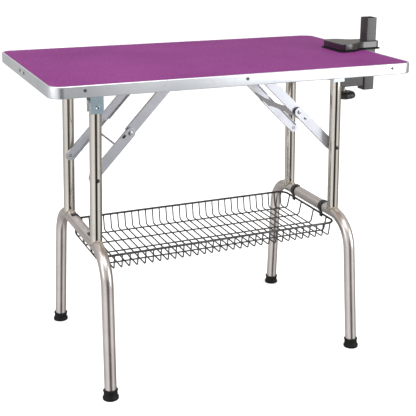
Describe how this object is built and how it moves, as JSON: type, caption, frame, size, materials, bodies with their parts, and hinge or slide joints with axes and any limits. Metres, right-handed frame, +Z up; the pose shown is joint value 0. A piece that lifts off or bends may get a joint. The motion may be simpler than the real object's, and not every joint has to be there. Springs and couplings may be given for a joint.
{
  "type": "folding grooming table",
  "caption": "Folding pet grooming table: padded top on two folding tube leg frames with braces, a wire basket under the crossbars and a clamp with a square post socket.",
  "frame": {"origin": "on the floor under the middle of the whole outline, clamp included", "axes": "+X along the top towards the clamp, +Z up, the front is -Y"},
  "size_m": [1.002, 0.55, 0.877],
  "materials": {
    "board": "plain sealed underside",
    "mat": "purple, fine pebbled, matt",
    "trim": "satin anodised",
    "polished_tube": "polished stainless steel",
    "brushed_tube": "satin stainless steel",
    "zinc_plate": "bright zinc plated pressings",
    "fastener": "zinc plated",
    "rubber": "matt black",
    "wire": "dark grey coated wire",
    "clip": "black plastic",
    "clamp": "dark grey powder coat",
    "knob": "black plastic"
  },
  "bodies": {
    "tabletop": {"table_board": "board", "table_mat": "mat", "edge_trim": "trim", "hinge_bracket_left_front": "zinc_plate", "hinge_bracket_left_back": "zinc_plate", "hinge_bracket_right_front": "zinc_plate", "hinge_bracket_right_back": "zinc_plate", "hinge_bolt_left_front": "fastener", "hinge_bolt_left_back": "fastener", "hinge_bolt_right_front": "fastener", "hinge_bolt_right_back": "fastener", "brace_anchor_left_front": "zinc_plate", "brace_anchor_left_back": "zinc_plate", "brace_anchor_right_front": "zinc_plate", "brace_anchor_right_back": "zinc_plate", "clamp_post": "clamp", "jaw_pad": "rubber", "clamp_jaw": "clamp", "clamp_arm": "clamp"},
    "left_legs": {"left_bow": "brushed_tube", "left_upright_front": "polished_tube", "left_upright_back": "polished_tube", "brace_pin_left_front": "fastener", "brace_pin_left_back": "fastener", "foot_left_front": "rubber", "foot_left_back": "rubber", "basket_clip_left_front": "clip", "basket_clip_left_back": "clip"},
    "left_upper_braces": {"upper_link_left_front": "zinc_plate", "upper_link_left_back": "zinc_plate"},
    "left_lower_braces": {"lower_link_left_front": "zinc_plate", "lower_link_left_back": "zinc_plate", "knee_rivet_left_front": "fastener", "knee_rivet_left_back": "fastener", "lock_rod": "fastener"},
    "right_legs": {"right_bow": "brushed_tube", "right_upright_front": "polished_tube", "right_upright_back": "polished_tube", "brace_pin_right_front": "fastener", "brace_pin_right_back": "fastener", "foot_right_front": "rubber", "foot_right_back": "rubber", "basket_clip_right_front": "clip", "basket_clip_right_back": "clip"},
    "right_upper_braces": {"upper_link_right_front": "zinc_plate", "upper_link_right_back": "zinc_plate", "brace_cross_plate": "zinc_plate"},
    "right_lower_braces": {"lower_link_right_front": "zinc_plate", "lower_link_right_back": "zinc_plate", "knee_rivet_right_front": "fastener", "knee_rivet_right_back": "fastener"},
    "basket": {"basket_rim": "wire", "basket_floor": "wire", "basket_front_wall": "wire", "basket_back_wall": "wire", "basket_left_wall": "wire", "basket_right_wall": "wire"},
    "pressure_pad": {"pressure_pad": "rubber"},
    "clamp_screw": {"clamp_screw": "fastener", "clamp_knob": "knob"}
  },
  "joints": [
    {"name": "left_leg_fold", "type": "hinge", "parent": "tabletop", "child": "left_legs", "pos_m": [-0.358, 0, 0.708], "axis": [0, -1, 0], "range_deg": [0, 91]},
    {"name": "left_upper_brace_fold", "type": "hinge", "parent": "tabletop", "child": "left_upper_braces", "pos_m": [-0.154, 0, 0.748], "axis": [0, 1, 0], "range_deg": [0, 39.81]},
    {"name": "left_lower_brace_fold", "type": "hinge", "parent": "left_legs", "child": "left_lower_braces", "pos_m": [-0.36116, 0, 0.52703], "axis": [0, -1, 0], "range_deg": [0, 33.96]},
    {"name": "right_leg_fold", "type": "hinge", "parent": "tabletop", "child": "right_legs", "pos_m": [0.306, 0, 0.741], "axis": [0, 1, 0], "range_deg": [0, 91]},
    {"name": "right_upper_brace_fold", "type": "hinge", "parent": "tabletop", "child": "right_upper_braces", "pos_m": [0.102, 0, 0.748], "axis": [0, -1, 0], "range_deg": [0, 43.51]},
    {"name": "right_lower_brace_fold", "type": "hinge", "parent": "right_legs", "child": "right_lower_braces", "pos_m": [0.30946, 0, 0.54303], "axis": [0, 1, 0], "range_deg": [0, 42.76]},
    {"name": "basket_slide", "type": "slide", "parent": "tabletop", "child": "basket", "axis": [0, 0, -1], "range_m": [0, 0.25]},
    {"name": "pressure_pad_slide", "type": "slide", "parent": "tabletop", "child": "pressure_pad", "axis": [0, 0, -1], "range_m": [0, 0.018]},
    {"name": "clamp_screw_turn", "type": "hinge", "parent": "pressure_pad", "child": "clamp_screw", "pos_m": [0.3997, -0.015, 0.7], "axis": [0, 0, -1], "range_deg": [0, 2160]}
  ],
  "couplings": [
    {"joint": "left_upper_brace_fold", "follows": "left_leg_fold", "ratio": 0.43729},
    {"joint": "left_lower_brace_fold", "follows": "left_leg_fold", "ratio": 0.37299},
    {"joint": "right_upper_brace_fold", "follows": "right_leg_fold", "ratio": 0.47802},
    {"joint": "right_lower_brace_fold", "follows": "right_leg_fold", "ratio": 0.46968},
    {"joint": "clamp_screw_turn", "follows": "pressure_pad_slide", "rad_per_m": 2094.4}
  ]
}
